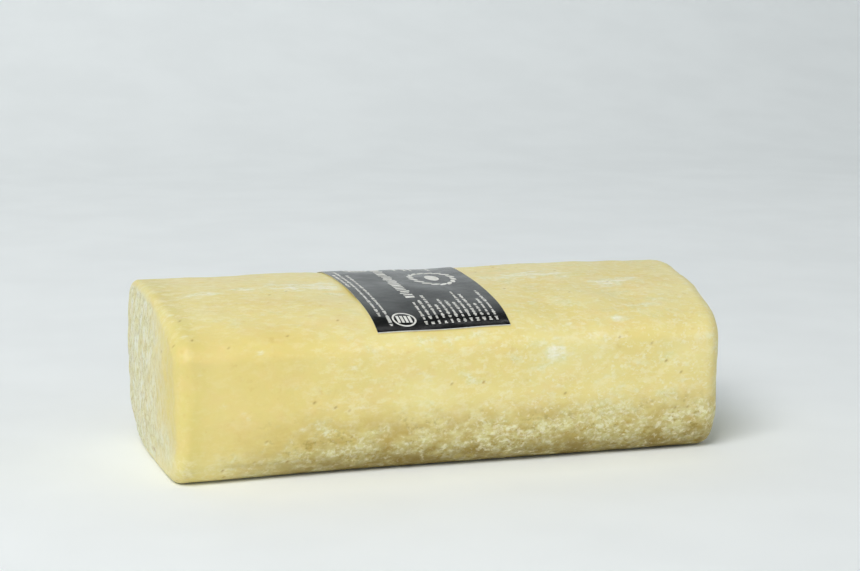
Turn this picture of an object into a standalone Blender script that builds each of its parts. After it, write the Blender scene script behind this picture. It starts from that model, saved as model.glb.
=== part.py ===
"""A whole pata de mulo: a long pressed ewe's-milk cheese with a natural rind, lying on its flat side.

X runs along the loaf, Y from its front to its back and Z up. The unit is the metre.
The origin is the middle of the base, under the centre of the loaf's box.
"""

import bmesh
import bpy
import numpy as np
from mathutils import Vector, noise

MM = 0.001

# The loaf, as pressed in its cloth
LENGTH = 270 * MM
WIDTH = 107 * MM
HEIGHT = 78 * MM

# Its section: where each side reaches furthest out, and how square each quarter between them is
BELLY_Z = 54 * MM
CROWN_Y = 87 * MM
BACK_Z = 66 * MM
BASE_Y = 35 * MM
FRONT_TOP_SQUARENESS = 2.2
BACK_TOP_SQUARENESS = 2.8
BACK_BOTTOM_SQUARENESS = 4.25
FRONT_BOTTOM_SQUARENESS = 5.5
SETTLED = 0.9 * MM

# Its two ends: the left one is squarer and wider, the right one runs on further at the back
LEFT_RIM = 4 * MM
RIGHT_RIM = 8.5 * MM
LEFT_SLANT = -0.007
RIGHT_SLANT = 0.135
END_SWELL = 2 * MM
WIDTH_TAPER = -0.089
HEIGHT_TAPER = -0.004

# The unevenness of a loaf pressed by hand
WAVE_HEIGHT = 1.5 * MM
WAVE_SPAN = 62 * MM
DIMPLE_HEIGHT = 0.7 * MM
DIMPLE_SPAN = 19 * MM
RELIEF_FADE = 9 * MM
FLARE_DEPTH = 3 * MM
FLARE_SPAN = 52 * MM
DENT_ALONG = 88 * MM
DENT_AROUND = 57 * MM
DENT_RADIUS = 10.5 * MM
DENT_DEPTH = 1.6 * MM

# The paper label, pasted over the crown from a little above the front belly
LABEL_LEFT = 92.7 * MM
LABEL_ALONG = 65 * MM
LABEL_FRONT = 12.4 * MM
LABEL_AROUND = 100 * MM
LABEL_SKEW = -0.066
LABEL_GAP = 0.35 * MM
LABEL_THICKNESS = 0.3 * MM

# How finely the solids are faceted
POINTS_AROUND = 60
STATIONS = 46
RIM_STEPS = 4
FACE_RINGS = 6
QUARTER_STEPS = 400
LABEL_STEPS_ALONG = 8
LABEL_STEPS_AROUND = 34
NORMAL_STEP = 0.5 * MM


def quarter(centre, reach, squareness, start):
    """A quarter of a superellipse, clockwise from the start angle in degrees, as points (y, z)."""
    angle = np.radians(start - np.linspace(0, 90, QUARTER_STEPS))
    wave = np.column_stack([np.cos(angle), np.sin(angle)])
    eased = np.sign(wave) * np.abs(wave) ** (2 / squareness)
    return np.array(centre) + np.array(reach) * eased


def section_outline():
    """The loaf's section from the front belly over the crown, down the back and under the base."""
    front_top = quarter(
        (CROWN_Y, BELLY_Z), (CROWN_Y, HEIGHT - BELLY_Z), FRONT_TOP_SQUARENESS, 180
    )
    back_top = quarter(
        (CROWN_Y, BACK_Z), (WIDTH - CROWN_Y, HEIGHT - BACK_Z), BACK_TOP_SQUARENESS, 90
    )
    back_bottom = quarter(
        (BASE_Y, BACK_Z), (WIDTH - BASE_Y, BACK_Z), BACK_BOTTOM_SQUARENESS, 0
    )
    front_bottom = quarter(
        (BASE_Y, BELLY_Z), (BASE_Y, BELLY_Z), FRONT_BOTTOM_SQUARENESS, -90
    )
    return np.vstack([front_top, back_top[1:], back_bottom[1:], front_bottom[1:]])


OUTLINE = section_outline()
OUTLINE_ARC = np.append(0, np.cumsum(np.hypot(*np.diff(OUTLINE, axis=0).T)))
PERIMETER = OUTLINE_ARC[-1]


def smooth_point(along, around, inset=0, share=1):
    """A point of the smooth loaf, from its distance along the axis and around the section.

    An inset, or a share of the section under 1, draws it in towards the middle of the section.
    """
    y = np.interp(around % PERIMETER, OUTLINE_ARC, OUTLINE[:, 0]) - WIDTH / 2
    z = np.interp(around % PERIMETER, OUTLINE_ARC, OUTLINE[:, 1]) - HEIGHT / 2
    y *= share * (1 - inset / (WIDTH / 2))
    z *= share * (1 - inset / (HEIGHT / 2))
    progress = along / LENGTH
    y *= 1 + WIDTH_TAPER * (progress - 0.5)
    z = (z + HEIGHT / 2) * (1 + HEIGHT_TAPER * (progress - 0.5))
    x = along + y * (LEFT_SLANT + (RIGHT_SLANT - LEFT_SLANT) * progress)
    if y < 0:
        lowness = max(0, 1 - z / BELLY_Z)
        y -= FLARE_DEPTH * lowness * np.exp(-((along / FLARE_SPAN) ** 2))
    return Vector((x, y, z - SETTLED))


def outward(along, around):
    """The smooth loaf's outward direction at a point of its side."""
    step = NORMAL_STEP
    lengthwise = smooth_point(along + step, around) - smooth_point(along - step, around)
    crosswise = smooth_point(along, around + step) - smooth_point(along, around - step)
    return lengthwise.cross(crosswise).normalized()


def unevenness(point):
    """How far the hand-pressed surface stands out at a point, fading to nothing at the base."""
    wave = WAVE_HEIGHT * noise.noise(point / WAVE_SPAN)
    dimple = DIMPLE_HEIGHT * noise.noise(point / DIMPLE_SPAN)
    return (wave + dimple) * min(1, max(0, point.z / RELIEF_FADE))


def dent(along, around):
    """The depth of the shallow hollow at the shoulder, which the label's edge bridges."""
    away = np.hypot(along - DENT_ALONG, around - DENT_AROUND) / DENT_RADIUS
    return DENT_DEPTH * np.exp(-(away**2))


def end_rings(rim):
    """The rings of one end, from its face outwards: depth from the face, inset, share and swell."""
    shares = np.linspace(0, 1, FACE_RINGS + 1)[1:-1]
    face = [(0, rim, share, END_SWELL * (1 - share**2)) for share in shares]
    turns = np.linspace(0, np.pi / 2, RIM_STEPS + 1)
    edge = [(rim * (1 - np.cos(turn)), rim * (1 - np.sin(turn)), 1, 0) for turn in turns]
    return face + edge


def loaf_rings():
    """Every ring from the left face to the right one: distance along the axis, inset and share."""
    left = [(depth - swell, inset, share) for depth, inset, share, swell in end_rings(LEFT_RIM)]
    right = [
        (LENGTH - depth + swell, inset, share)
        for depth, inset, share, swell in reversed(end_rings(RIGHT_RIM))
    ]
    body = np.linspace(LEFT_RIM, LENGTH - RIGHT_RIM, STATIONS + 1)[1:-1]
    return left + [(along, 0, 1) for along in body] + right


def loaf_mesh():
    """The loaf as one closed mesh: rings of points joined by faces, with a fan on each end."""
    bm = bmesh.new()
    rings = loaf_rings()
    arcs = np.arange(POINTS_AROUND) / POINTS_AROUND * PERIMETER
    points = [
        [bm.verts.new(smooth_point(along, arc, inset, share)) for arc in arcs]
        for along, inset, share in rings
    ]
    for ring, following in zip(points, points[1:]):
        for i in range(POINTS_AROUND):
            j = (i + 1) % POINTS_AROUND
            bm.faces.new((ring[i], ring[j], following[j], following[i]))
    for ring, along in ((points[0], -END_SWELL), (points[-1], LENGTH + END_SWELL)):
        middle = bm.verts.new(smooth_point(along, 0, 0, 0))
        for i in range(POINTS_AROUND):
            bm.faces.new((ring[i], ring[(i + 1) % POINTS_AROUND], middle))
    bmesh.ops.recalc_face_normals(bm, faces=bm.faces)
    bm.normal_update()
    moves = {vert: vert.normal * unevenness(vert.co) for vert in bm.verts}
    for ring, (along, inset, _) in zip(points, rings):
        for vert, arc in zip(ring, arcs):
            moves[vert] -= vert.normal * (dent(along, arc) if inset == 0 else 0)
    for vert, move in moves.items():
        vert.co += move
        vert.co.z = max(0, vert.co.z)
    return finished_mesh(bm, "loaf")


def label_mesh():
    """The label as a thin sheet that follows the loaf's top and front shoulder."""
    bm = bmesh.new()
    steps_along = np.linspace(0, LABEL_ALONG, LABEL_STEPS_ALONG + 1)
    steps_around = np.linspace(0, LABEL_AROUND, LABEL_STEPS_AROUND + 1) + LABEL_FRONT
    sheets = []
    for height in (LABEL_GAP, LABEL_GAP + LABEL_THICKNESS):
        sheet = []
        for step in steps_along:
            row = []
            for around in steps_around:
                across = smooth_point(LABEL_LEFT, around).y
                along = LABEL_LEFT + step + LABEL_SKEW * across
                point = smooth_point(along, around)
                lift = unevenness(point) + height
                row.append(bm.verts.new(point + outward(along, around) * lift))
            sheet.append(row)
        sheets.append(sheet)
    under, over = sheets
    for sheet in sheets:
        for row, following in zip(sheet, sheet[1:]):
            for i in range(LABEL_STEPS_AROUND):
                bm.faces.new((row[i], row[i + 1], following[i + 1], following[i]))
    for low, high in zip(sheet_border(under), sheet_border(over)):
        bm.faces.new((low[0], low[1], high[1], high[0]))
    bmesh.ops.recalc_face_normals(bm, faces=bm.faces)
    return finished_mesh(bm, "label")


def sheet_border(sheet):
    """The sheet's outer edges in turn, each as its two points."""
    first, last = sheet[0], sheet[-1]
    fronts = [row[0] for row in sheet]
    backs = [row[-1] for row in sheet]
    loop = first[:-1] + backs[:-1] + last[:0:-1] + fronts[:0:-1]
    return list(zip(loop, loop[1:] + loop[:1]))


def finished_mesh(bm, name):
    """The bmesh as a smooth-shaded mesh."""
    mesh = bpy.data.meshes.new(name)
    bm.to_mesh(mesh)
    bm.free()
    mesh.shade_smooth()
    return mesh


def material(name, colour, roughness):
    """A plain non-metallic material."""
    made = bpy.data.materials.new(name)
    made.use_nodes = True
    shader = made.node_tree.nodes["Principled BSDF"]
    shader.inputs["Base Color"].default_value = (*colour, 1)
    shader.inputs["Metallic"].default_value = 0
    shader.inputs["Roughness"].default_value = roughness
    return made


def place(name, mesh, finish, parent, location):
    """An object of that mesh and finish, parented to the empty at the origin."""
    mesh.materials.append(finish)
    obj = bpy.data.objects.new(name, mesh)
    bpy.context.scene.collection.objects.link(obj)
    obj.parent = parent
    obj.location = location
    return obj


def main():
    for obj in list(bpy.data.objects):
        bpy.data.objects.remove(obj, do_unlink=True)
    cheese = bpy.data.objects.new("pata_de_mulo", None)
    bpy.context.scene.collection.objects.link(cheese)

    loaf = loaf_mesh()
    corners = np.array([vert.co for vert in loaf.vertices])
    middle = (corners.min(axis=0) + corners.max(axis=0)) / 2
    centred = Vector((-middle[0], -middle[1], 0))
    rind = material("rind", (0.80, 0.66, 0.33), 0.5)
    paper = material("black_label", (0.012, 0.012, 0.013), 0.25)
    place("cheese", loaf, rind, cheese, centred)
    place("label", label_mesh(), paper, cheese, centred)


main()
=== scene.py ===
"""A whole pata de mulo: a long hand-pressed ewe's-milk cheese with a natural rind and a paper label.

The script follows the object as it is put together: the loaf and its rind, then the label and its print,
then the plain studio around it. Sizes and places on the loaf and its label are in millimetres, and the
studio's are in metres.
"""

import math

import bpy
import numpy as np
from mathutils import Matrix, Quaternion, Vector, noise


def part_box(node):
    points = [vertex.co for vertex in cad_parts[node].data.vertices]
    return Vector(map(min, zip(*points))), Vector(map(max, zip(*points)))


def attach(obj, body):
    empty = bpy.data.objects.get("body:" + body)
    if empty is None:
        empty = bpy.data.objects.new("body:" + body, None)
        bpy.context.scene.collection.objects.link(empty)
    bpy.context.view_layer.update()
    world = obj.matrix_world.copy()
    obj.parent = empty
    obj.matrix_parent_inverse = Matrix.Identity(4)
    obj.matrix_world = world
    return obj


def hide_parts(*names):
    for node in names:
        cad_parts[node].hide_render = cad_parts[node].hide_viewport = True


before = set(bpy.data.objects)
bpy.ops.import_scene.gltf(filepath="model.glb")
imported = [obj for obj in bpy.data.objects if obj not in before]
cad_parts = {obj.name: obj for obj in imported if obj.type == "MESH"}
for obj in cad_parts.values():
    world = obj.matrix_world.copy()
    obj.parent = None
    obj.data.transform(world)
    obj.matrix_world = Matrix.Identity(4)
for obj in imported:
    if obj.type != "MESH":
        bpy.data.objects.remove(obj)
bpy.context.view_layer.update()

# The loaf: ewe's-milk curd, pressed by hand in a knotted cloth, then salted and ripened. That leaves a long
# body with a flat side, a blunt left end, a rounder and narrower right end that runs on further at the back,
# and a top that slopes down to a soft front shoulder.

LENGTH, WIDTH, HEIGHT = 270, 107, 78

# Its section: where each side reaches furthest out, and how square each quarter between them is.

BELLY_Z, CROWN_Y, BACK_Z, BASE_Y = 54, 87, 66, 35
FRONT_TOP_SQUARENESS, BACK_TOP_SQUARENESS = 2.2, 2.8
BACK_BOTTOM_SQUARENESS, FRONT_BOTTOM_SQUARENESS = 4.25, 5.5
QUARTER_STEPS = 400
SETTLED = 0.9

# Its ends, its taper, and the flare of the foot at the left of the front.

LEFT_RIM, RIGHT_RIM = 4, 8.5
LEFT_SLANT, RIGHT_SLANT = -0.007, 0.135
END_SWELL = 2
WIDTH_TAPER, HEIGHT_TAPER = -0.089, -0.004
FLARE_DEPTH, FLARE_SPAN = 3, 52


def quarter(centre, reach, squareness, start):
    """A quarter of a superellipse, clockwise from the start angle in degrees, as points (y, z)."""
    angle = np.radians(start - np.linspace(0, 90, QUARTER_STEPS))
    wave = np.column_stack([np.cos(angle), np.sin(angle)])
    eased = np.sign(wave) * np.abs(wave) ** (2 / squareness)
    return np.array(centre) + np.array(reach) * eased


section = np.vstack([
    quarter((CROWN_Y, BELLY_Z), (CROWN_Y, HEIGHT - BELLY_Z), FRONT_TOP_SQUARENESS, 180),
    quarter((CROWN_Y, BACK_Z), (WIDTH - CROWN_Y, HEIGHT - BACK_Z), BACK_TOP_SQUARENESS, 90)[1:],
    quarter((BASE_Y, BACK_Z), (WIDTH - BASE_Y, BACK_Z), BACK_BOTTOM_SQUARENESS, 0)[1:],
    quarter((BASE_Y, BELLY_Z), (BASE_Y, BELLY_Z), FRONT_BOTTOM_SQUARENESS, -90)[1:],
])
section_arc = np.append(0, np.cumsum(np.hypot(*np.diff(section, axis=0).T)))
PERIMETER = section_arc[-1]


def loaf_point(along, around, inset=0, share=1):
    """Points of the smooth loaf, from distances along the axis and around from the front belly.

    An inset, or a share of the section under 1, draws them in towards the middle of the section.
    """
    y = np.interp(around % PERIMETER, section_arc, section[:, 0]) - WIDTH / 2
    z = np.interp(around % PERIMETER, section_arc, section[:, 1]) - HEIGHT / 2
    y = y * share * (1 - inset / (WIDTH / 2))
    z = z * share * (1 - inset / (HEIGHT / 2))
    progress = along / LENGTH
    y = y * (1 + WIDTH_TAPER * (progress - 0.5))
    z = (z + HEIGHT / 2) * (1 + HEIGHT_TAPER * (progress - 0.5))
    x = along + y * (LEFT_SLANT + (RIGHT_SLANT - LEFT_SLANT) * progress)
    lowness = np.clip(1 - z / BELLY_Z, 0, 1) * (y < 0)
    y = y - FLARE_DEPTH * lowness * np.exp(-((along / FLARE_SPAN) ** 2))
    return np.stack(np.broadcast_arrays(x, y, z - SETTLED), axis=-1)


# The unevenness that pressing by hand leaves: long waves and finger dimples over the whole loaf, which fade
# out at the base, and one hollow beside the label's left edge.

WAVE_HEIGHT, WAVE_SPAN = 1.5, 62
DIMPLE_HEIGHT, DIMPLE_SPAN = 0.7, 19
RELIEF_FADE = 9
DENT_ALONG, DENT_AROUND = 88, 57
DENT_RADIUS, DENT_DEPTH = 10.5, 1.6


def unevenness(points):
    """How far the hand-pressed surface stands out at the points, fading to nothing at the base."""
    waves = np.array([noise.noise(Vector(point)) for point in points / WAVE_SPAN])
    dimples = np.array([noise.noise(Vector(point)) for point in points / DIMPLE_SPAN])
    return (WAVE_HEIGHT * waves + DIMPLE_HEIGHT * dimples) * np.clip(points[:, 2] / RELIEF_FADE, 0, 1)


# The rind as a mesh of its own: a fine grid of rings from the left face to the right one, so that its holes,
# creases and crust are real relief. It is coarser only under the base, where nothing shows.

RIND_STEP = 0.95
BODY_STEP = 1.12
RIM_STEPS = 8
LEFT_FACE_RINGS, RIGHT_FACE_RINGS = 40, 34
UNSEEN_STRIDE = 5


def end_rings(rim, face_rings):
    """The rings of one end from its face outwards: depth, inset, share of the section."""
    shares = np.linspace(0, 1, face_rings + 1)[1:-1]
    face = [(-END_SWELL * (1 - share**2), rim, share) for share in shares]
    turns = np.linspace(0, math.pi / 2, RIM_STEPS + 1)
    edge = [(rim * (1 - math.cos(turn)), rim * (1 - math.sin(turn)), 1) for turn in turns]
    return face + edge


left_rings = end_rings(LEFT_RIM, LEFT_FACE_RINGS)
right_rings = [
    (LENGTH - depth, inset, share) for depth, inset, share in end_rings(RIGHT_RIM, RIGHT_FACE_RINGS)
]
body_steps = round((LENGTH - LEFT_RIM - RIGHT_RIM) / BODY_STEP)
body_places = np.linspace(LEFT_RIM, LENGTH - RIGHT_RIM, body_steps + 1)[1:-1]
body_rings = [(place, 0, 1) for place in body_places]
rings = np.array(left_rings + body_rings + right_rings[::-1])

fine_arcs = np.arange(0, PERIMETER - RIND_STEP / 2, RIND_STEP)
fine_heights = np.interp(fine_arcs, section_arc, section[:, 1])
in_stride = np.arange(len(fine_arcs)) % UNSEEN_STRIDE == 0
arcs = fine_arcs[(fine_heights > SETTLED / 2) | in_stride]

ring_grid, arc_grid = np.meshgrid(np.arange(len(rings)), arcs, indexing="ij")
ring_along, ring_inset, ring_share = rings[ring_grid.ravel()].T
ring_arc = arc_grid.ravel()

# The left rim is pressed rounder beside the front belly, so its rings are drawn apart there. Around the loaf
# this fades out from its centre over its span, and along the loaf it ends where the blend does.

SOFT_RIM, SOFT_CENTRE, SOFT_SPAN = 9.5, -6, 38
RIM_BLEND = 20

arc_from_belly = np.where(ring_arc > PERIMETER / 2, ring_arc - PERIMETER, ring_arc)
softness = np.exp(-(((arc_from_belly - SOFT_CENTRE) / SOFT_SPAN) ** 2))
rim_here = LEFT_RIM + (SOFT_RIM - LEFT_RIM) * softness
on_left = ring_along < LENGTH / 2
ring_inset = np.where(on_left, ring_inset * rim_here / LEFT_RIM, ring_inset)
drawn_in = np.interp(ring_along, [0, LEFT_RIM, RIM_BLEND], [0, 1, 0])
ring_along = ring_along + drawn_in * (rim_here - LEFT_RIM)
smooth = loaf_point(ring_along, ring_arc, ring_inset, ring_share)
poles = np.vstack([loaf_point(end, 0.0, 0, 0) for end in (-END_SWELL, LENGTH + END_SWELL)])
smooth = np.vstack([smooth, poles])

columns = len(arcs)
first = np.arange(columns)
second = (first + 1) % columns
quads = [
    np.column_stack([first, first + columns, second + columns, second]) + ring * columns
    for ring in range(len(rings) - 1)
]
last_ring = (len(rings) - 1) * columns
left_fan = [(len(smooth) - 2, a, b) for a, b in zip(first, second)]
right_fan = [(len(smooth) - 1, b, a) for a, b in zip(first + last_ring, second + last_ring)]

rind_mesh = bpy.data.meshes.new("natural_rind")
rind_mesh.from_pydata(smooth, [], np.vstack(quads).tolist() + left_fan + right_fan)
rind_mesh.update()
outward = np.zeros(len(smooth) * 3, np.float32)
rind_mesh.vertex_normals.foreach_get("vector", outward)
outward = outward.reshape(-1, 3).astype(float)

# Where each point of the rind lies. side is the distance around from the front belly, positive over the top
# and negative down the front. end_face is 1 on the flat of an end and 0 on the body, and section_share is 1
# at the edge of the section and 0 at its middle. low and right_half run from 0 to 1 between their two places.

LOW_BAND = (34, 12)
RIGHT_HALF = (110, 190)


def smoothstep(low, high, value):
    """0 at low, 1 at high and eased between, for numbers or arrays."""
    share = np.clip((value - low) / (high - low), 0, 1)
    return share * share * (3 - 2 * share)


count = len(smooth)
along = np.append(ring_along, [-END_SWELL, LENGTH + END_SWELL])
side = np.append(arc_from_belly, [0, 0])
across = smooth[:, 1]
height = smooth[:, 2]
end_face = np.append(ring_inset / np.where(on_left, rim_here, RIGHT_RIM), [1, 1])
section_share = np.append(ring_share, [0, 0])
low = smoothstep(*LOW_BAND, height)
right_half = smoothstep(*RIGHT_HALF, along)

# The label's place on the loaf. The rind under it is clean and smooth, up to a narrow strip around it.

LABEL_LEFT, LABEL_ALONG = 92.7, 65
LABEL_FRONT, LABEL_AROUND = 12.4, 100
LABEL_SKEW = -0.066
STRIP_OUTER, STRIP_INNER = 2.5, 0.5

from_left = along - LABEL_LEFT - LABEL_SKEW * across
label_back = LABEL_FRONT + LABEL_AROUND
under_label = (
    smoothstep(-STRIP_OUTER, -STRIP_INNER, from_left)
    * smoothstep(LABEL_ALONG + STRIP_OUTER, LABEL_ALONG + STRIP_INNER, from_left)
    * smoothstep(LABEL_FRONT - STRIP_OUTER, LABEL_FRONT - STRIP_INNER, side)
    * smoothstep(label_back + STRIP_OUTER, label_back + STRIP_INNER, side)
) * (end_face == 0)

# The bloom: dry whitish mould that lies as a thin crust. It is thick low on the sides and on the far part of
# the ends, lies in long smears along the top, and is almost gone from the rubbed, waxy left of the front.
# A pair is where something starts and where it is whole. A smear is its place along and around the loaf,
# then its half length and half width.

CLUMP_SIZES, CRUMB_SIZES, RAGGED_SIZES = (14, 9, 9), (3.2, 2.4, 2.4), (9, 4, 4)
RUBBED_ALONG, RUBBED_BELOW, RUBBED_ABOVE = (80, 45), (-46, -34), (32, 8)
FAR_ACROSS, NEAR_ACROSS, NEAR_SHARE = (-48, 8), (5, -35), (0.72, 1)
BLOOM_ALONG, BLOOM_EDGE, SMEAR_EDGE = (6, 50), (0.36, 0.92), (0.3, 0.75)
BLOOM_ANYWHERE, BLOOM_LOW, BLOOM_RIGHT, BLOOM_RUBBED, BLOOM_ON_END = 0.20, 0.44, 0.12, 0.25, 0.42
SMEARS = [
    (23, 60, 9, 4), (46, 66, 9, 3), (74, 67, 22, 7), (88, 57, 9, 3), (183, -1, 6, 5), (217, 15, 4, 3),
    (234, 24, 4, 3), (185, 72, 26, 8), (225, 55, 14, 6),
]


def noise_at(points, spans, octaves=1):
    """Smooth noise, about -1 to 1, at the points, with features of the given size or sizes."""
    scaled = points / np.array(spans)
    return np.array([noise.fractal(Vector(point), 1, 2, octaves) for point in scaled])


clumps = noise_at(smooth, CLUMP_SIZES, 5)
crumbs = noise_at(smooth, CRUMB_SIZES, 2) * (1 - 0.8 * end_face)
ragged = noise_at(smooth, RAGGED_SIZES, 4)
rubbed = smoothstep(*RUBBED_ALONG, along) * smoothstep(*RUBBED_BELOW, side) * smoothstep(*RUBBED_ABOVE, side)
near_rim = smoothstep(*NEAR_SHARE, section_share) * smoothstep(*NEAR_ACROSS, across)
far_on_end = end_face**3 * np.maximum(smoothstep(*FAR_ACROSS, across), 0.75 * low) * (1 - 0.75 * near_rim)
smear = np.zeros(count)
for smear_along, smear_side, half_length, half_width in SMEARS:
    off_middle = ((along - smear_along) / half_length) ** 2 + ((side - smear_side) / half_width) ** 2
    smear = np.maximum(smear, np.exp(-off_middle))
smear = smoothstep(*SMEAR_EDGE, smear + 0.55 * ragged)
bloom_share = (
    BLOOM_ANYWHERE
    + BLOOM_LOW * low * smoothstep(*BLOOM_ALONG, along)
    + BLOOM_RIGHT * right_half
    - BLOOM_RUBBED * rubbed
    + BLOOM_ON_END * far_on_end
)
bloom = smoothstep(*BLOOM_EDGE, bloom_share + 0.55 * clumps + 0.14 * crumbs)
bloom = np.maximum(bloom, smear) * (1 - under_label)

# Small holes. Where the curd didn't close, the rind has short dark slits and pinholes, with more of them low
# down and on the rough ends. Some have a place along and around the loaf, and a seeded draw strews the rest.

PLACED_HOLES = [
    (10, 14), (25, 9), (65, -18), (75, -21), (130, -14), (188, -21), (100, -42),
    (42, -35), (22, -47), (218, -43), (232, 0), (240, -9), (248, -15), (252, -32),
]
STREWN_HOLES = 100
HOLES_ANYWHERE, HOLES_LOW, HOLES_ON_END = 0.3, 1.2, 1.2
LOWEST_HOLE = 1.5
HOLE_LENGTH, HOLE_WIDTH, HOLE_DEPTH = 1.1, 0.5, 0.36
HOLE_REACH = 3 * HOLE_LENGTH

draw = np.random.default_rng(7)
chance = (HOLES_ANYWHERE + HOLES_LOW * low + HOLES_ON_END * end_face) * (1 - 0.9 * rubbed)
chance = chance * section_share * (1 - under_label) * (height > LOWEST_HOLE)
chosen = list(draw.choice(count, STREWN_HOLES, replace=False, p=chance / chance.sum()))
for hole_along, hole_side in PLACED_HOLES:
    spot = loaf_point(float(hole_along), float(hole_side))
    chosen.append(int(np.argmin(((smooth - spot) ** 2).sum(axis=1))))
hole = np.zeros(count)
for centre in chosen:
    normal = Vector(outward[centre])
    lengthwise = normal.orthogonal().normalized()
    lengthwise.rotate(Quaternion(normal, draw.uniform(0, math.pi)))
    crosswise = normal.cross(lengthwise)
    size = draw.uniform(0.5, 1.0)
    near = np.flatnonzero(np.abs(smooth - smooth[centre]).max(axis=1) < HOLE_REACH)
    offset = smooth[near] - smooth[centre]
    reach_along = offset @ np.array(lengthwise) / (HOLE_LENGTH * size * draw.uniform(0.5, 1))
    reach_across = offset @ np.array(crosswise) / (HOLE_WIDTH * size)
    hole[near] = np.maximum(hole[near], size * np.exp(-(reach_along**2) - reach_across**2))

# Cloth marks. Long creases run beside the base and over the top where the cloth was gathered, and come and
# go. The ends, where it was knotted, and the crust low on the sides are cracked into small upright crags.
# A crease is its place around the loaf, then its start and its end along it.

CREASES = [(-46, 14, 92), (-49, 128, 205), (118, 30, 95), (134, 40, 230), (165, 15, 120)]
CREASE_DEPTH, CREASE_WIDTH, CREASE_TAPER = 0.26, 1.1, 12
CREASE_WANDER, WANDER_SPAN = 2.4, 40
BREAK_SPAN, BREAK_EDGE = 24, (-0.3, 0.3)
CRAG_SIZES, CRUST_SIZES, CRACK_EDGE = (30, 4, 8), (7, 3.6, 3.6), (0.02, 0.2)

wander = CREASE_WANDER * noise_at(np.column_stack([along, along * 0, along * 0]), WANDER_SPAN)
crease = np.zeros(count)
for crease_side, crease_start, crease_end in CREASES:
    off_line = (side - crease_side - wander) / CREASE_WIDTH
    run = smoothstep(crease_start - CREASE_TAPER, crease_start + CREASE_TAPER, along)
    run = run * smoothstep(crease_end + CREASE_TAPER, crease_end - CREASE_TAPER, along)
    crease = np.maximum(crease, run * np.exp(-(off_line**2)))
crease = crease * (1 - under_label) * smoothstep(*BREAK_EDGE, noise_at(smooth, BREAK_SPAN, 2))
crags = noise_at(smooth, CRAG_SIZES, 2)
crust = noise_at(smooth, CRUST_SIZES, 3)
crack = (1 - end_face) * low * bloom * (1 - smoothstep(*CRACK_EDGE, np.abs(crust)))

# The finished relief of the rind, and its fields for the material, as attributes of the mesh. The relief ends
# at the base, which rests flat, and the loaf is set over the middle of its CAD solid.

MM = 0.001
BLOOM_HEIGHT, CRUMB_HEIGHT, LUMP_HEIGHT, CRAG_HEIGHT = 0.12, 0.075, 0.22, 0.3
CRACK_DEPTH = 0.26
LUMP_SIZES = (13, 7, 7)
BASE_FADE = 2
RIM_MIDDLE, RIM_SPAN = 5, 9
LOW_ALONG, FOOT_ALONG, FOOT_TOP = (0, 100), (5, 110), 16

lumps = noise_at(smooth, LUMP_SIZES, 2)
away = np.hypot(along - DENT_ALONG, side - DENT_AROUND) / DENT_RADIUS
dent = DENT_DEPTH * np.exp(-(away**2)) * (end_face == 0)
relief = (
    BLOOM_HEIGHT * bloom * (1 + crumbs)
    + CRUMB_HEIGHT * crumbs * (0.2 + low + 0.6 * far_on_end + 0.6 * smear)
    + LUMP_HEIGHT * lumps
    + CRAG_HEIGHT * crags * end_face**3
    - CRACK_DEPTH * crack
    - HOLE_DEPTH * hole
    - CREASE_DEPTH * crease
)
fade = np.clip(height / BASE_FADE, 0, 1) * (1 - under_label)
finished = smooth + outward * (unevenness(smooth) - dent + relief * fade)[:, None]
finished[:, 2] = np.maximum(finished[:, 2], 0)

cad_low, cad_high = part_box("cheese")
middle = (finished.min(axis=0) + finished.max(axis=0)) / 2
cad_middle = [(cad_low.x + cad_high.x) / 2, (cad_low.y + cad_high.y) / 2, middle[2] * MM]
centring = np.array(cad_middle) - middle * MM
rind_mesh.vertices.foreach_set("co", (finished * MM + centring).astype(np.float32).ravel())
rind_fields = {
    "bloom": bloom,
    "hole": hole,
    "crease": crease,
    "far_on_end": far_on_end,
    "near_on_end": end_face * (1 - far_on_end),
    "rim": np.exp(-(((along - RIM_MIDDLE) / RIM_SPAN) ** 2)) * (1 - end_face),
    "crack": crack,
    "smear": smear * (1 - under_label),
    "rubbed": rubbed,
    "mottled": (1 - 0.75 * rubbed) * (1 - under_label),
    # low and foot darken the colour towards the base: partly the rind's own tone, partly painted shade.
    "low": low * smoothstep(*LOW_ALONG, along),
    "foot_tone_and_shade": smoothstep(FOOT_TOP, 0, height) * smoothstep(*FOOT_ALONG, along) * (1 - 0.5 * end_face),
    "dusted": np.clip(0.15 + right_half + 0.5 * low - rubbed, 0, 1) * (1 - under_label),
}
for name, field in rind_fields.items():
    layer = rind_mesh.attributes.new(name, "FLOAT", "POINT")
    layer.data.foreach_set("value", field.astype(np.float32))
rind_mesh.update()
rind_mesh.shade_smooth()
rind = bpy.data.objects.new("natural_rind", rind_mesh)
bpy.context.scene.collection.objects.link(rind)
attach(rind, "root")
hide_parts("cheese")

# Its finish is the natural rind of a pressed ewe's-milk cheese, dried and rubbed by hand as it ripens: butter
# yellow and waxy, with a little light going into it, mottled with cream, peach, ochre and olive, and chalky
# and dull where the bloom lies. The threads of the mould and the pores of the rind are far under 0.1 mm, so
# they are drawn as tufts of 2 to 5 mm and pores of 0.9 mm, which is as coarse as they need to be to show.

WAXY_ROUGHNESS, CHALKY_ROUGHNESS = 0.33, 0.74
FAT_IOR = 1.45
LIGHT_REACH, LIGHT_SHARE = 3, 0.25


def linear(colour):
    """The linear RGBA of an sRGB hex colour such as "E8D78B"."""
    channels = [int(colour[i:i + 2], 16) / 255 for i in (0, 2, 4)]
    return (*[c / 12.92 if c <= 0.04045 else ((c + 0.055) / 1.055) ** 2.4 for c in channels], 1)


def add(tree, kind, inputs=None, **settings):
    """Adds a node with its settings, and links or sets each of its inputs, given by name or number."""
    made = tree.nodes.new(kind)
    for name, value in settings.items():
        setattr(made, name, value)
    for socket, value in (inputs or {}).items():
        if isinstance(value, bpy.types.NodeSocket):
            tree.links.new(value, made.inputs[socket])
        else:
            made.inputs[socket].default_value = value
    return made


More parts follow.
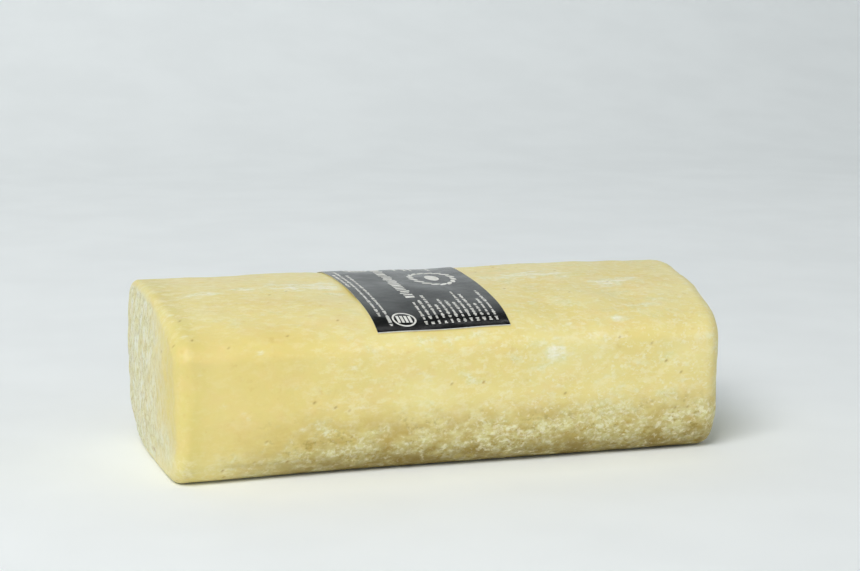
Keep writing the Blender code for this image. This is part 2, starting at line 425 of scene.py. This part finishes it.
def blotches(tree, sizes, start, full, detail=4, roughness=0.6, shift=0):
    """Blotches of these sizes along X, Y and Z: 0 between them, and 1 where one is whole."""
    place = add(tree, "ShaderNodeTexCoord").outputs["Object"]
    scaled = add(tree, "ShaderNodeMapping", {
        "Vector": place, "Location": (shift, shift, shift), "Scale": tuple(1 / (size * MM) for size in sizes),
    }).outputs[0]
    grain = add(tree, "ShaderNodeTexNoise", {
        "Vector": scaled, "Scale": 1, "Detail": detail, "Roughness": roughness,
    }).outputs["Fac"]
    return add(tree, "ShaderNodeMapRange", {
        "Value": grain, "From Min": start, "From Max": full,
    }, interpolation_type="SMOOTHSTEP").outputs["Result"]


def coat(tree, under, colour, *amounts):
    """The colour under, with this hex colour laid over it as strongly as the product of the amounts."""
    strength = amounts[0]
    for amount in amounts[1:]:
        strength = add(tree, "ShaderNodeMath", {0: strength, 1: amount}, operation="MULTIPLY").outputs[0]
    return add(tree, "ShaderNodeMix", {0: strength, 6: under, 7: linear(colour)}, data_type="RGBA").outputs[2]


waxy_rind = bpy.data.materials.new("waxy_cheese_rind")
waxy_rind.use_nodes = True
tree = waxy_rind.node_tree
tree.nodes.clear()
on_rind = {name: add(tree, "ShaderNodeAttribute", attribute_name=name).outputs["Fac"] for name in rind_fields}

# The waxy yellow body of the rind, its mottling, and the paler crust on the ends.

colour = coat(tree, linear("ECDF9B"), "E8D78B", blotches(tree, (48, 32, 32), 0.32, 0.68, 2))
colour = coat(tree, colour, "E5D182", on_rind["rubbed"], 0.75)
colour = coat(tree, colour, "D6C873", on_rind["rim"], 0.55)
peach_patches = blotches(tree, (17, 12, 12), 0.45, 0.72, 4, 0.6, 7)
colour = coat(tree, colour, "ECCE90", peach_patches, 0.28)
cream_flecks = blotches(tree, (6, 3.5, 3.5), 0.46, 0.66, 6, 0.7, 3)
colour = coat(tree, colour, "F4EBBF", on_rind["mottled"], cream_flecks, 0.5)
ochre_spots = blotches(tree, (5, 4, 4), 0.58, 0.78, 5, 0.6, 9)
colour = coat(tree, colour, "D8B96A", ochre_spots, 0.36)
colour = coat(tree, colour, "D8C877", on_rind["near_on_end"], 0.4)
colour = coat(tree, colour, "DCDAB0", on_rind["far_on_end"], 0.45)
end_crust = blotches(tree, (8, 3, 7), 0.38, 0.56, 6, 0.7, 11)
colour = coat(tree, colour, "F1F2E4", on_rind["far_on_end"], end_crust, 0.85)
bare_patches = blotches(tree, (14, 9, 16), 0.47, 0.64, 4, 0.6, 61)
colour = coat(tree, colour, "DCCF86", on_rind["far_on_end"], bare_patches, 0.6)

# The lower sides, browner and darker towards the foot: partly the rind's own ochre tone and partly painted
# shade, where the loaf curves under to the floor. Olive specks lie over it in clusters.

brown_patches = blotches(tree, (8, 5, 5), 0.34, 0.66, 5, 0.6, 17)
colour = coat(tree, colour, "C3A04A", on_rind["low"], brown_patches, 0.75)
# Painted shade with some of the rind's own tone: the low band and the foot made darker.
colour = coat(tree, colour, "93801D", on_rind["low"], 0.4)
colour = coat(tree, colour, "8E7722", on_rind["foot_tone_and_shade"], 0.85)
clusters = blotches(tree, (14, 9, 9), 0.42, 0.62, 2, 0.5, 27)
olive_specks = blotches(tree, (3.2, 2.4, 2.4), 0.5, 0.66, 4, 0.65, 13)
colour = coat(tree, colour, "94802C", on_rind["low"], clusters, olive_specks, 0.75)

# The whitish bloom over both, dusted over the right of the loaf. At the foot it is darkened again in streaks,
# partly the rind's own dirtier tone and partly painted shade.

tufts = blotches(tree, (5, 3.2, 3.2), 0.38, 0.54, 8, 0.75, 5)
colour = coat(tree, colour, "DFDAA2", on_rind["bloom"], tufts, 0.78)
white_tips = blotches(tree, (2.6, 2, 2), 0.47, 0.6, 5, 0.7, 45)
colour = coat(tree, colour, "F2EFD2", on_rind["bloom"], white_tips, 0.68)
smear_strokes = blotches(tree, (9, 2, 2), 0.42, 0.62, 6, 0.75, 71)
colour = coat(tree, colour, "FBF8EA", on_rind["smear"], smear_strokes, 0.65)
# Painted shade with some dirt: dark streaks laid over the bloom at the foot.
foot_tone_and_shade_streaks = blotches(tree, (7, 4, 4), 0.22, 0.52, 6, 0.65, 35)
colour = coat(tree, colour, "7A6418", on_rind["foot_tone_and_shade"], foot_tone_and_shade_streaks, 0.78)
dust = blotches(tree, (3.4, 2.6, 2.6), 0.54, 0.68, 6, 0.65, 21)
colour = coat(tree, colour, "F3EDCC", on_rind["dusted"], dust, 0.6)

# Cracks in the crust of the ends run where two opposite edges of one pattern of blotches meet. They, the
# cracks low down, the creases and the holes are darker than what is round them.

up_to_crack = blotches(tree, (8, 3, 6), 0.46, 0.5, 5, 0.6, 83)
back_from_crack = blotches(tree, (8, 3, 6), 0.54, 0.5, 5, 0.6, 83)
colour = coat(tree, colour, "B29D4A", on_rind["far_on_end"], up_to_crack, back_from_crack, 0.55)
colour = coat(tree, colour, "B29D4A", on_rind["crack"], 0.6)
colour = coat(tree, colour, "A8934F", on_rind["crease"], 0.3)
colour = coat(tree, colour, "A27C2A", on_rind["hole"], 0.75)

dry_or_waxy = add(tree, "ShaderNodeMath", {
    0: on_rind["bloom"], 1: blotches(tree, (3, 3, 3), 0.3, 0.7, 4, 0.6, 31),
}, operation="ADD").outputs[0]
sheen = add(tree, "ShaderNodeMapRange", {
    "Value": dry_or_waxy, "From Min": 0, "From Max": 2, "To Min": WAXY_ROUGHNESS, "To Max": CHALKY_ROUGHNESS,
}).outputs["Result"]
pores = add(tree, "ShaderNodeBump", {
    "Height": blotches(tree, (0.9, 0.8, 0.8), 0.2, 0.8, 4, 0.65, 41), "Strength": 0.3, "Distance": 0.2 * MM,
}).outputs[0]
skin = add(tree, "ShaderNodeBump", {
    "Height": blotches(tree, (4, 2.6, 2.6), 0.2, 0.8, 3, 0.5, 51), "Strength": 0.4, "Distance": 0.25 * MM,
    "Normal": pores,
}).outputs[0]
crazing = add(tree, "ShaderNodeMath", {0: up_to_crack, 1: back_from_crack}, operation="MULTIPLY").outputs[0]
crazing = add(tree, "ShaderNodeMath", {0: crazing, 1: on_rind["far_on_end"]}, operation="MULTIPLY").outputs[0]
cracked = add(tree, "ShaderNodeBump", {
    "Height": crazing, "Strength": 0.6, "Distance": 0.3 * MM, "Normal": skin,
}, invert=True).outputs[0]
surface = add(tree, "ShaderNodeBsdfPrincipled", {
    "Base Color": colour, "Roughness": sheen, "Normal": cracked, "IOR": FAT_IOR,
    "Subsurface Weight": LIGHT_SHARE, "Subsurface Radius": (1.0, 0.6, 0.25),
    "Subsurface Scale": LIGHT_REACH * MM,
})
add(tree, "ShaderNodeOutputMaterial", {"Surface": surface.outputs[0]})
rind_mesh.materials.append(waxy_rind)

# The label: a strip of white paper printed solid black and varnished, pasted over the crown. The paper shows
# white in its cut edges and just under the black along the front, and its left edge bridges a hollow.

PAPER_THICKNESS, PAPER_LIFT = 0.2, 0.32
PAPER_EDGE = 0.35
LABEL_STEP = 1.3
NORMAL_STEP = 0.5


def label_point(across, up, lift):
    """Points over the label, from its lower left corner along and around, at a height over the rind."""
    around_there = LABEL_FRONT + up
    crown = loaf_point(np.full_like(around_there, LABEL_LEFT), around_there)[..., 1]
    along_there = LABEL_LEFT + across + LABEL_SKEW * crown
    point = loaf_point(along_there, around_there)
    ahead = loaf_point(along_there + NORMAL_STEP, around_there) - point
    upward = loaf_point(along_there, around_there + NORMAL_STEP) - point
    out = np.cross(ahead, upward)
    out /= np.linalg.norm(out, axis=-1, keepdims=True)
    raised = unevenness(point.reshape(-1, 3)).reshape(up.shape) + lift
    return (point + out * raised[..., None]) * MM + centring


def label_patch(across_stops, up_stops, lift):
    """A patch over the label at those stops: its points and its faces."""
    across, up = np.meshgrid(across_stops, up_stops, indexing="ij")
    points = label_point(across, up, lift).reshape(-1, 3)
    rows, width = across.shape
    faces = [
        (i * width + j, (i + 1) * width + j, (i + 1) * width + j + 1, i * width + j + 1)
        for i in range(rows - 1) for j in range(width - 1)
    ]
    return points, faces


def stops(length, step, edge):
    """Stops along a length with a narrow strip at both edges."""
    inner = np.linspace(edge, length - edge, round(length / step))
    return np.concatenate([[0], inner, [length]])


across_stops = stops(LABEL_ALONG, LABEL_STEP, PAPER_EDGE)
up_stops = stops(LABEL_AROUND, LABEL_STEP, PAPER_EDGE)
paper_points, paper_faces = label_patch(across_stops, up_stops, PAPER_LIFT + PAPER_THICKNESS)
paper_mesh = bpy.data.meshes.new("label_paper")
paper_mesh.from_pydata(paper_points, [], paper_faces)
for index, face in enumerate(paper_mesh.polygons):
    face.material_index = int(index % (len(up_stops) - 1) == 0)
paper_mesh.shade_smooth()
paper = bpy.data.objects.new("label_paper", paper_mesh)
bpy.context.scene.collection.objects.link(paper)
thickness = paper.modifiers.new("thickness", "SOLIDIFY")
thickness.thickness = PAPER_THICKNESS * MM
thickness.offset = -1
thickness.material_offset = 1
thickness.material_offset_rim = 1
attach(paper, "root")
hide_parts("label")

# Its face is black ink printed solid on the paper under a gloss varnish: near black, so what shows is soft
# grey reflections of what is round it, a little wavy because the paper lies on an uneven rind.

VARNISH_IOR = 1.52

black_print = bpy.data.materials.new("varnished_black_print")
black_print.use_nodes = True
tree = black_print.node_tree
tree.nodes.clear()
ink = coat(tree, linear("0A0A0A"), "121211", blotches(tree, (14, 14, 14), 0.35, 0.65, 3))
gloss = add(tree, "ShaderNodeMapRange", {
    "Value": blotches(tree, (6, 6, 6), 0.3, 0.7, 4), "To Min": 0.14, "To Max": 0.24,
}).outputs["Result"]
waviness = add(tree, "ShaderNodeBump", {
    "Height": blotches(tree, (9, 9, 9), 0.2, 0.8, 2), "Strength": 0.3, "Distance": 0.3 * MM,
}).outputs[0]
surface = add(tree, "ShaderNodeBsdfPrincipled", {
    "Base Color": ink, "Roughness": gloss, "Normal": waviness, "IOR": VARNISH_IOR,
})
add(tree, "ShaderNodeOutputMaterial", {"Surface": surface.outputs[0]})

# Bare label paper is coated white paper, calendered smooth: matt beside the varnish, with a faint mottle.
# Its fibres are about 0.02 mm thick, so they are drawn 0.5 mm wide to show at all.

PAPER_IOR = 1.5

bare_paper = bpy.data.materials.new("bare_label_paper")
bare_paper.use_nodes = True
tree = bare_paper.node_tree
tree.nodes.clear()
pulp = coat(tree, linear("E9E8E2"), "D8D6CC", blotches(tree, (2, 2, 2), 0.4, 0.65, 4))
fibres = add(tree, "ShaderNodeBump", {
    "Height": blotches(tree, (0.5, 0.5, 0.5), 0.2, 0.8, 3), "Strength": 0.2, "Distance": 0.05 * MM,
}).outputs[0]
dullness = add(tree, "ShaderNodeMapRange", {
    "Value": blotches(tree, (3, 3, 3), 0.3, 0.7, 3), "To Min": 0.38, "To Max": 0.5,
}).outputs["Result"]
surface = add(tree, "ShaderNodeBsdfPrincipled", {
    "Base Color": pulp, "Roughness": dullness, "Normal": fibres, "IOR": PAPER_IOR,
})
add(tree, "ShaderNodeOutputMaterial", {"Surface": surface.outputs[0]})
paper_mesh.materials.append(black_print)
paper_mesh.materials.append(bare_paper)

# The print on the label: white paper left bare in plain shapes. Rows of small blocks run around the loaf as
# lines of text do, a bolder row stands for a title, and a wreath and two round marks are plain ornaments.
# Places are measured from the label's lower left corner, along the loaf and around it. The shapes are thin
# sheets of their own, which stand a little proud of the black so that they show.

PRINT_HEIGHT = 0.05
PRINT_LIFT = PAPER_LIFT + PAPER_THICKNESS + PRINT_HEIGHT
BLOCK_STEP_ALONG, BLOCK_STEP_AROUND = 2, 1.5


def print_piece(name, patches):
    """Makes one piece of print from its patches, each a pair of points and faces."""
    points, faces = [], []
    for patch_points, patch_faces in patches:
        faces += [tuple(index + len(points) for index in face) for face in patch_faces]
        points += list(patch_points)
    mesh = bpy.data.meshes.new(name)
    mesh.from_pydata(points, [], faces)
    mesh.materials.append(bare_paper)
    piece = bpy.data.objects.new(name, mesh)
    bpy.context.scene.collection.objects.link(piece)
    body = piece.modifiers.new("thickness", "SOLIDIFY")
    body.thickness = PRINT_HEIGHT * MM
    body.offset = -1
    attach(piece, "root")


def block(left, right, bottom, top):
    """A rectangle of print, in steps short enough to follow the label."""
    across = np.linspace(left, right, max(2, math.ceil((right - left) / BLOCK_STEP_ALONG) + 1))
    up = np.linspace(bottom, top, max(2, math.ceil((top - bottom) / BLOCK_STEP_AROUND) + 1))
    return label_patch(across, up, PRINT_LIFT)


# The fine print: three rows beside the left edge, a block of short rows to their right, each with a word and
# a few more after a gap, and four rows near the far edge. A row has its place, its start and its end.

FINE_HEIGHT, FINE_SMALL = 1.6, 0.65
FINE_WIDTHS, FINE_GAP = (0.45, 0.85), 0.32
WORD_LENGTHS, WORD_GAP = (2, 8), 1.1
EDGE_ROWS = [(1.8, 50, 77), (4.4, 12, 84), (7.8, 4, 74)]
LIST_ROWS, LIST_START, LIST_STEP = 12, 25, 3.15
LIST_WORD, LIST_TEXT_START, LIST_TEXT_ENDS = (4, 6.5), 8, (20, 40)
FAR_ROWS, FAR_START, FAR_ENDS = (35, 40, 43, 52), 84, (90, 95)


def text_row(at, bottom, top):
    """A row of small blocks of uneven size, grouped as words are."""
    blocks, position, left_in_word = [], bottom, int(draw.integers(*WORD_LENGTHS))
    while position < top:
        width = draw.uniform(*FINE_WIDTHS)
        tall = FINE_HEIGHT * draw.choice([FINE_SMALL, FINE_SMALL, 1])
        blocks.append(block(at - tall / 2, at + tall / 2, position, min(position + width, top)))
        left_in_word -= 1
        position += width + (FINE_GAP if left_in_word else WORD_GAP)
        left_in_word = left_in_word or int(draw.integers(*WORD_LENGTHS))
    return blocks


text_rows = []
for at, bottom, top in EDGE_ROWS:
    text_rows += text_row(at, bottom, top)
for number in range(LIST_ROWS):
    at = LIST_START + number * LIST_STEP
    text_rows += text_row(at, *LIST_WORD)
    text_rows += text_row(at, LIST_TEXT_START, draw.uniform(*LIST_TEXT_ENDS))
for at in FAR_ROWS:
    text_rows += text_row(at, FAR_START, draw.uniform(*FAR_ENDS))
print_piece("fine_print", text_rows)

# The title: one row of bars as tall as a title's letters, some set a little further along than the others.

TITLE_AT, TITLE_HEIGHT, TITLE_DIP = 22.4, 4.4, 0.9
TITLE_START, TITLE_END = 31, 88
TITLE_WIDTHS, TITLE_GAP = (0.9, 2.2), 1.15

title, position = [], TITLE_START
while position < TITLE_END:
    width = draw.uniform(*TITLE_WIDTHS)
    dip = draw.choice([0, 0, TITLE_DIP])
    title.append(block(TITLE_AT + dip, TITLE_AT + TITLE_HEIGHT + dip, position, position + width))
    position += width + TITLE_GAP
print_piece("title_bars", title)

# The two round marks, one near the front edge and one near the far one: a ring with four upright bars in it.

MARK_CENTRES = ((15.2, 8.8), (16, 88))
MARK_INNER, MARK_OUTER = 4.9, 5.8
MARK_BARS, BARS_START, BAR_STEP, BAR_WIDTH, BAR_HALF = 4, 3.6, 1.95, 1.3, 2.8
ROUND_SIDES, ROUND_STEP = 32, 1.2
DISC_HOLE = 0.02


def round_patch(centre, inner, outer, stretch=1, narrow=1, turned=0):
    """A flat ring of print, stretched up, narrowed and turned, in short steps.

    Where inner is 0 it is a disc, with a hole in it that is too small to show.
    """
    steps = max(2, math.ceil((outer - inner) / ROUND_STEP) + 1)
    radii = np.linspace(max(inner, DISC_HOLE), outer, steps)
    turns = np.linspace(0, 2 * math.pi, ROUND_SIDES + 1)[:-1]
    radius, turn = np.meshgrid(radii, turns, indexing="ij")
    wide, tall = radius * np.cos(turn) * narrow, radius * np.sin(turn) * stretch
    across = centre[0] + wide * math.cos(turned) - tall * math.sin(turned)
    up = centre[1] + wide * math.sin(turned) + tall * math.cos(turned)
    points = label_point(across, up, PRINT_LIFT).reshape(-1, 3)
    width = len(turns)
    faces = [
        (i * width + j, (i + 1) * width + j, (i + 1) * width + (j + 1) % width, i * width + (j + 1) % width)
        for i in range(len(radii) - 1) for j in range(width)
    ]
    return points, faces


marks = []
for centre_across, centre_up in MARK_CENTRES:
    marks.append(round_patch((centre_across, centre_up), MARK_INNER, MARK_OUTER))
    for number in range(MARK_BARS):
        left = centre_across - BARS_START + number * BAR_STEP
        marks.append(block(left, left + BAR_WIDTH, centre_up - BAR_HALF, centre_up + BAR_HALF))
print_piece("round_marks", marks)

# The wreath: an upright oval in the middle, with leaves set slantwise in a ring around it.

WREATH_CENTRE, WREATH_WIDE, WREATH_TALL = (46.5, 63), 10.2, 12.5
OVAL_RADIUS, OVAL_STRETCH = 3.4, 1.5
LEAVES, LEAF_RADIUS, LEAF_NARROW, LEAF_SLANT = 16, 2.6, 0.42, 0.5

wreath = [round_patch(WREATH_CENTRE, 0, OVAL_RADIUS, OVAL_STRETCH)]
for number in range(LEAVES):
    turn = (number + 0.5) / LEAVES * 2 * math.pi
    leaf = (WREATH_CENTRE[0] + WREATH_WIDE * math.cos(turn), WREATH_CENTRE[1] + WREATH_TALL * math.sin(turn))
    wreath.append(round_patch(leaf, 0, LEAF_RADIUS, 1, LEAF_NARROW, turn + LEAF_SLANT))
print_piece("wreath", wreath)

# The studio: a sheet of pale matt card that lies flat under the loaf and curves up behind it, so that no edge
# shows. It lies a tenth of a millimetre below the loaf's base.

SWEEP_FRONT, SWEEP_BACK, SWEEP_HALF_WIDTH = -3, 1.1, 4
SWEEP_RADIUS, SWEEP_STEPS, SWEEP_TOP = 1.2, 24, 3.2
SWEEP_DROP = 0.1 * MM
CARD_ROUGHNESS, CARD_IOR = 0.85, 1.4

sweep_line = [(SWEEP_FRONT, 0)]
for turn in np.linspace(0, math.pi / 2, SWEEP_STEPS + 1):
    sweep_line.append((SWEEP_BACK + SWEEP_RADIUS * math.sin(turn), SWEEP_RADIUS * (1 - math.cos(turn))))
sweep_line.append((SWEEP_BACK + SWEEP_RADIUS, SWEEP_TOP))
sweep_mesh = bpy.data.meshes.new("pale_card_sweep")
sweep_points = [(x, y, z) for y, z in sweep_line for x in (-SWEEP_HALF_WIDTH, SWEEP_HALF_WIDTH)]
sweep_faces = [(2 * i, 2 * i + 1, 2 * i + 3, 2 * i + 2) for i in range(len(sweep_line) - 1)]
sweep_mesh.from_pydata(sweep_points, [], sweep_faces)
sweep_mesh.shade_smooth()
sweep = bpy.data.objects.new("pale_card_sweep", sweep_mesh)
sweep.location.z = -SWEEP_DROP
bpy.context.scene.collection.objects.link(sweep)

pale_card = bpy.data.materials.new("pale_matt_card")
pale_card.use_nodes = True
tree = pale_card.node_tree
tree.nodes.clear()
card = coat(tree, linear("F5F8F8"), "F2F5F5", blotches(tree, (90, 90, 90), 0.3, 0.7, 2))
surface = add(tree, "ShaderNodeBsdfPrincipled", {
    "Base Color": card, "Roughness": CARD_ROUGHNESS, "IOR": CARD_IOR,
})
add(tree, "ShaderNodeOutputMaterial", {"Surface": surface.outputs[0]})
sweep_mesh.materials.append(pale_card)

# The light: a room that is pale near the horizon and dim overhead, with a broad soft box high on the front
# left, a weaker one on the right, and one that lights the card behind, which shows in the label's gloss.
# A box has its name, its place, the place that it faces, its width and height, and its power in watts.

HORIZON_STRENGTH, OVERHEAD_STRENGTH = 0.77, 0.09
HORIZON_RISE, OVERHEAD_RISE = 0.1, 0.78
SOFT_BOXES = [
    ("front_left_box", (-1.05, -1.1, 1.7), (0, 0, 0), 1.2, 1.2, 38.5),
    ("right_box", (1.5, -0.9, 0.9), (0, 0, 0), 1.0, 1.0, 4),
    ("card_box", (0, 0.5, 1.8), (0, 2.3, 1.0), 2.4, 0.5, 12),
]

surround = bpy.data.worlds.new("pale_room")
surround.use_nodes = True
tree = surround.node_tree
tree.nodes.clear()
direction = add(tree, "ShaderNodeSeparateXYZ", {0: add(tree, "ShaderNodeTexCoord").outputs["Generated"]})
dimming = add(tree, "ShaderNodeMapRange", {
    "Value": direction.outputs["Z"], "From Min": HORIZON_RISE, "From Max": OVERHEAD_RISE,
    "To Min": HORIZON_STRENGTH, "To Max": OVERHEAD_STRENGTH,
}, interpolation_type="SMOOTHSTEP").outputs["Result"]
room = add(tree, "ShaderNodeBackground", {"Color": linear("E2EBEE"), "Strength": dimming})
add(tree, "ShaderNodeOutputWorld", {"Surface": room.outputs[0]})
bpy.context.scene.world = surround
bpy.context.scene.view_settings.view_transform = "Standard"

for name, where, towards, wide, tall, power in SOFT_BOXES:
    lamp = bpy.data.lights.new(name, "AREA")
    lamp.shape = "RECTANGLE"
    lamp.size, lamp.size_y = wide, tall
    lamp.energy = power
    light = bpy.data.objects.new(name, lamp)
    light.location = where
    light.rotation_mode = "QUATERNION"
    light.rotation_quaternion = (Vector(towards) - Vector(where)).to_track_quat("-Z", "Y")
    bpy.context.scene.collection.objects.link(light)

# The camera: a short telephoto a little above the loaf, turned so that the left end shows.

CAMERA_PLACE = (-0.2994, -0.8855, 0.2325)
CAMERA_TURN, CAMERA_PITCH, CAMERA_ROLL = math.radians(18.51), math.radians(9.55), math.radians(0.83)
LENS_MM, SENSOR_MM = 83.7, 36

lens = bpy.data.cameras.new("camera")
lens.lens = LENS_MM
lens.sensor_width = SENSOR_MM
camera = bpy.data.objects.new("camera", lens)
looking = Vector((
    math.sin(CAMERA_TURN) * math.cos(CAMERA_PITCH),
    math.cos(CAMERA_TURN) * math.cos(CAMERA_PITCH),
    -math.sin(CAMERA_PITCH),
))
camera.location = CAMERA_PLACE
camera.rotation_mode = "QUATERNION"
camera.rotation_quaternion = looking.to_track_quat("-Z", "Y") @ Quaternion((0, 0, 1), CAMERA_ROLL)
bpy.context.scene.collection.objects.link(camera)
bpy.context.scene.camera = camera
